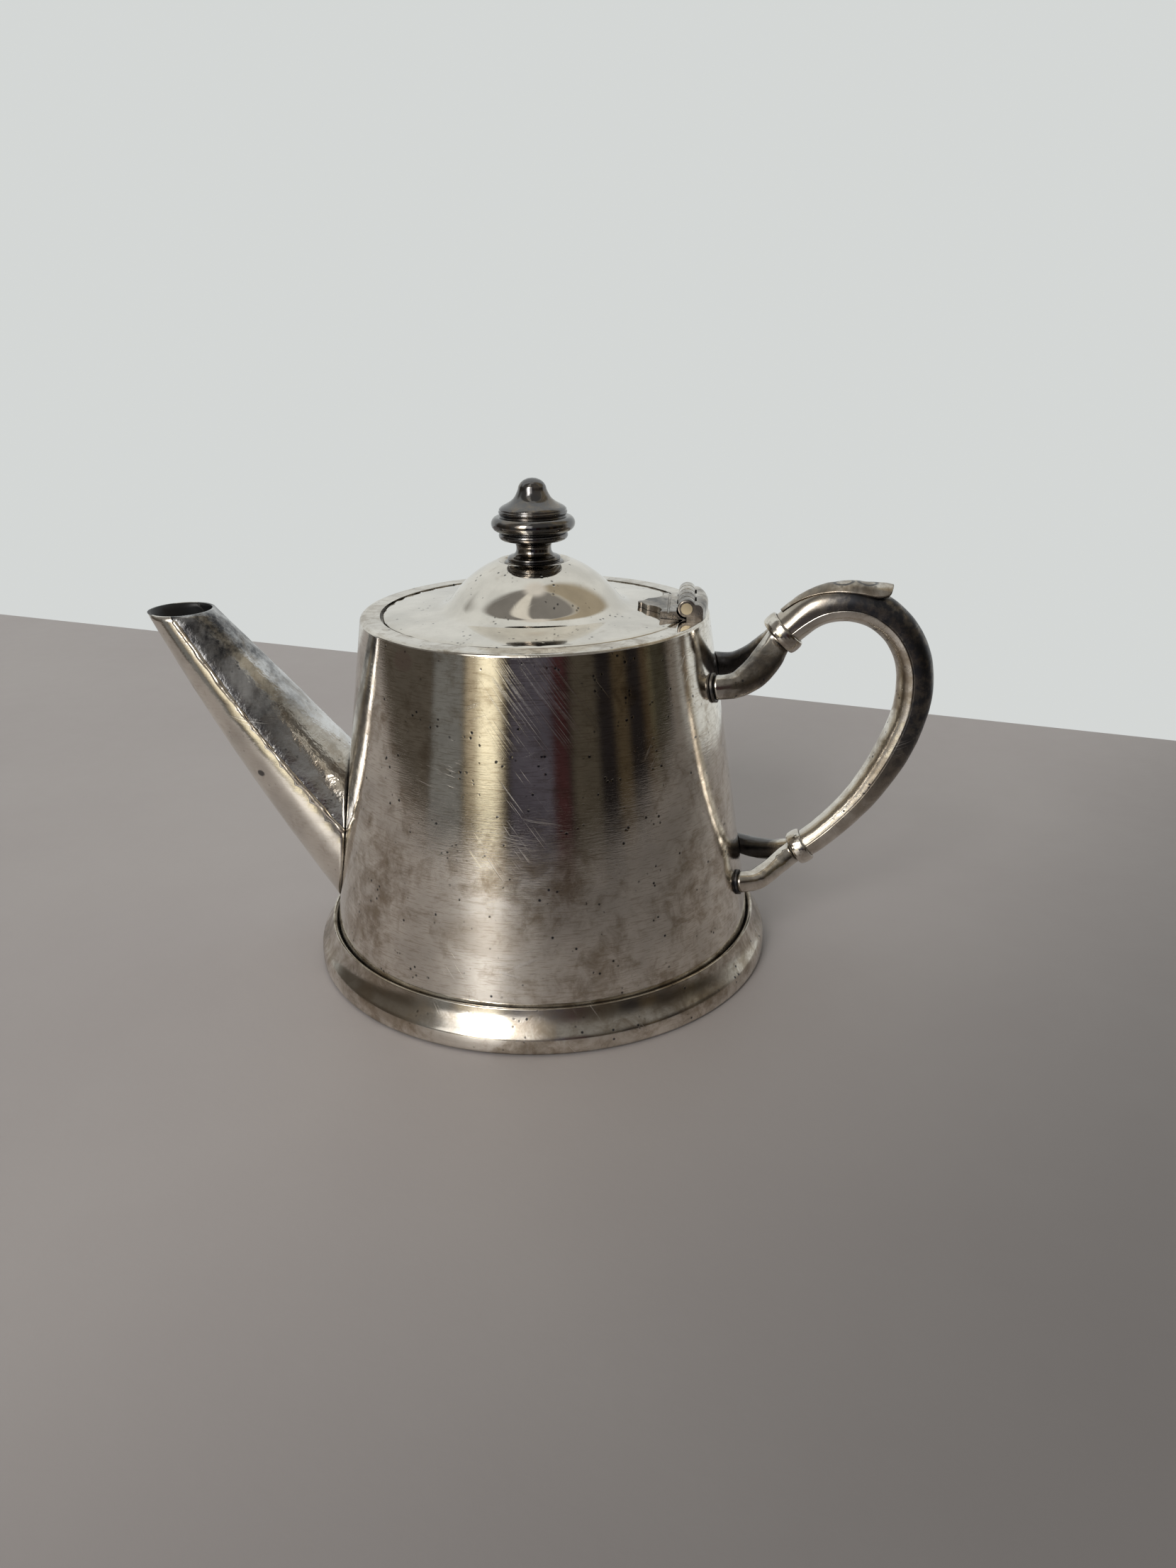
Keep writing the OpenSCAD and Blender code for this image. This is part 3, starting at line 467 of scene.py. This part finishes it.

# How each kind of piece has worn, and how much painted shade darkens its corners
FINISHES = {
    "body": dict(stained=0.55, blackened=0.12, rough=0.035, brushed=1.0, scratched=1.0, pitted=1.0,
                 spots=[PALE_PATCH, LOW_STAIN], hatched=HATCH),
    "base": dict(stained=0.8, blackened=0.3, rough=0.25, scratched=0.2),
    "spout_upper": dict(stained=0.62, blackened=0.7, rough=0.07, brushed=0.3, pitted=0.6, hammered=0.6,
                        fade=[(X, -0.045, -0.062)], clean=rgb(0.80, 0.80, 0.80)),
    "spout_lower": dict(stained=0.3, blackened=0.05, rough=0.15, brushed=0.3, ripple=0.3, hammered=0.1,
                        spots=[DARK_SPOT]),
    "solder": dict(stained=0.8, blackened=0.35, rough=0.16, brushed=0.0, pitted=0.6, hammered=0.4),
    # Much of the hinge's corner black is painted shade under its leaf and between the knuckles
    "hinge": dict(stained=0.9, blackened=0.6, rough=0.12, brushed=0.0, pitted=0.6, hammered=0.1, grime_and_shade=1.0,
                  reach=0.005),
    "pin": dict(stained=0.1, blackened=0.0, rough=0.38, brushed=0.0, grime_and_shade=0.3, clean=rgb(0.66, 0.57, 0.40)),
    "foot": dict(stained=0.75, blackened=0.3, rough=0.12, brushed=0.3, scratched=1.0, pitted=1.0, ripple=0.2,
                 spots=[FOOT_STAIN]),
    "lid": dict(stained=0.16, blackened=0.0, rough=0.06, brushed=0.0, scratched=0.3, pitted=0.9),
    "finial": dict(stained=0.5, blackened=0.35, rough=0.09, brushed=0.0, scratched=0.3, pitted=0.2,
                   ripple=0.0, grime_and_shade=1.0, reach=0.002, clean=rgb(0.18, 0.178, 0.18)),
    "handle": dict(stained=1.0, blackened=1.1, rough=0.10, brushed=0.1, scratched=1.0, pitted=0.5,
                   hammered=0.12, fade=[(Z, 0.022, 0.054), (X, 0.050, 0.064)]),
    "handle_inner": dict(stained=0.6, blackened=0.12, rough=0.22, brushed=0.0, pitted=1.0, hammered=0.25),
    "thumb_rest": dict(stained=1.0, blackened=0.5, rough=0.18, brushed=0.0, pitted=0.5, hammered=0.2,
                       reach=0.003, rings=THUMB_OVALS),
    "collar": dict(stained=0.7, blackened=0.4, rough=0.12, brushed=0.0, hammered=0.15),
    # The fork's long corner reach and its far-prong spots are painted shade
    "fork": dict(stained=0.75, blackened=0.5, rough=0.14, brushed=0.0, pitted=0.9, hammered=0.15,
                 grime_and_shade=1.0, reach=0.009, fade=[(Z, 0.018, 0.045)], spots=FAR_PRONG_SHADE),
    # The pads' corner black is painted shade in the gap at the wall
    "pad": dict(stained=1.0, blackened=0.8, rough=0.25, brushed=0.0, grime_and_shade=1.0, reach=0.004),
}

# Nodes that have worn in another way than the rest of their slot
OWN_FINISH = {"hinge_pin": "pin", "foot_ring": "foot", "upper_fork_pads": "pad", "lower_fork_pads": "pad"}


def body_of(node):
    return frame["nodes"][node]["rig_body"]


def slot_of(node):
    return next(part["material_slot"] for part in frame["record"]["subparts"] if part["node"] == node)


# ---- Smooth, hand-worked copies that replace some of the CAD's pieces ----

SHARP = math.radians(40)      # edges that turn by more than this stay sharp
FLAT = math.radians(60)       # pairs of triangles that turn by less than this become one face
WELD = 1e-6


def smooth_copy(node, levels):
    """A copy of a CAD node with its triangles joined to quads and rounded between its sharp edges."""
    mesh = frame["nodes"][node].data.copy()
    mesh.materials.clear()
    bm = bmesh.new()
    bm.from_mesh(mesh)
    bmesh.ops.remove_doubles(bm, verts=bm.verts, dist=WELD)
    bmesh.ops.join_triangles(bm, faces=bm.faces, angle_face_threshold=FLAT, angle_shape_threshold=FLAT)
    crease = bm.edges.layers.float.get("crease_edge") or bm.edges.layers.float.new("crease_edge")
    for edge in bm.edges:
        if edge.calc_face_angle(0) > SHARP:
            edge[crease] = 1.0
    for face in bm.faces:
        face.smooth = True
    bm.to_mesh(mesh)
    bm.free()
    mesh.update()
    piece = bpy.data.objects.new(node + "_worked", mesh)
    bpy.context.scene.collection.objects.link(piece)
    rounding = piece.modifiers.new("rounding", "SUBSURF")
    rounding.levels = rounding.render_levels = levels
    bpy.context.view_layer.update()
    final = bpy.data.meshes.new_from_object(piece.evaluated_get(bpy.context.evaluated_depsgraph_get()))
    piece.modifiers.clear()
    piece.data = final
    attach(piece, body_of(node))
    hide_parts(node)
    return piece


def worked(piece, swell, dents):
    """Moves each point along its normal by the swell and by the sum of (size, scale, seed) noises."""
    mesh = piece.data
    moves = []
    for vertex in mesh.vertices:
        move = swell
        for size, scale, seed in dents:
            move += size * noise.noise(vertex.co * scale + Vector((seed, seed, seed)))
        moves.append(vertex.co + vertex.normal * move)
    for vertex, place in zip(mesh.vertices, moves):
        vertex.co = place
    mesh.update()


# How far each piece swells, and the dents it has
WORKED = {
    "spout_upper_shell": (0.0, [(0.10 * MM, 110, 1.0), (0.06 * MM, 330, 2.0)]),
    "spout_lower_shell": (0.0, [(0.06 * MM, 90, 3.0), (0.03 * MM, 300, 4.0)]),
    "spout_seam_solder": (0.10 * MM, [(0.35 * MM, 300, 5.0), (0.14 * MM, 900, 6.0)]),
    "handle_outer_shell": (0.0, [(0.08 * MM, 120, 7.0), (0.04 * MM, 420, 8.0)]),
    "handle_inner_shell": (0.0, [(0.08 * MM, 140, 9.0), (0.05 * MM, 500, 10.0)]),
    "thumb_rest": (0.0, [(0.07 * MM, 260, 11.0), (0.05 * MM, 700, 12.0)]),
    "upper_fork": (0.0, [(0.08 * MM, 200, 13.0), (0.05 * MM, 700, 14.0)]),
    "lower_fork": (0.0, [(0.08 * MM, 200, 15.0), (0.05 * MM, 700, 16.0)]),
    "lid_plate": (0.0, [(0.03 * MM, 60, 19.0)]),
    "finial": (0.0, []),
    "foot_ring": (0.0, []),
    "upper_fork_pads": (0.0, [(0.06 * MM, 500, 17.0)]),
    "lower_fork_pads": (0.0, [(0.06 * MM, 500, 18.0)]),
}

# Pieces whose CAD rows are fine enough for one level of rounding; the others take two
TURNED = ("lid_plate", "finial", "foot_ring")


def tea_stain():
    """Painted shade for the inside of the spout: a dull, near-black colour."""
    material = bpy.data.materials.new("tea_stain")
    material.use_nodes = True
    g = Graph(material.node_tree)
    depth = g.noise(g.place(), 260.0, 4.0)
    colour = g.mix(depth, rgb(0.006, 0.008, 0.012), rgb(0.022, 0.020, 0.018))
    shader = g.node("BsdfPrincipled", {"Base Color": colour, "Roughness": 0.4, "Specular IOR Level": 0.3})
    g.node("OutputMaterial", {"Surface": shader})
    return material


# The ends of the spout's own middle line
SPOUT_FOOT = Vector((-0.0436, 0, 0.0305))
SPOUT_TOP = Vector((-0.0770, 0, 0.0730))


def darken_inside(piece, material):
    """Gives another material, the painted shade of the inside, to the faces that look at the spout's middle
    line.
    """
    mesh = piece.data
    mesh.materials.append(material)
    run = (SPOUT_TOP - SPOUT_FOOT).normalized()
    for face in mesh.polygons:
        out = face.center - SPOUT_FOOT
        out -= out.dot(run) * run
        if face.normal.dot(out) < -0.2 * out.length:
            face.material_index = len(mesh.materials) - 1


def make_pieces():
    materials = {slot: silver("silver_" + slot, **wear) for slot, wear in FINISHES.items()}
    # the inside of the spout gets a painted shade
    inside = tea_stain()
    for node, thing in frame["nodes"].items():
        finish = materials[OWN_FINISH.get(node, slot_of(node))]
        if node in WORKED:
            piece = smooth_copy(node, 1 if node in TURNED else 2)
            worked(piece, *WORKED[node])
            piece.data.materials.clear()
            piece.data.materials.append(finish)
            if node.startswith("spout_") and node.endswith("_shell"):
                darken_inside(piece, inside)
        else:
            thing.material_slots[0].link = "OBJECT"
            thing.material_slots[0].material = finish


make_camera()
make_world()
make_table()
make_pieces()

bpy.context.scene.view_settings.view_transform = "Standard"
bpy.context.view_layer.update()
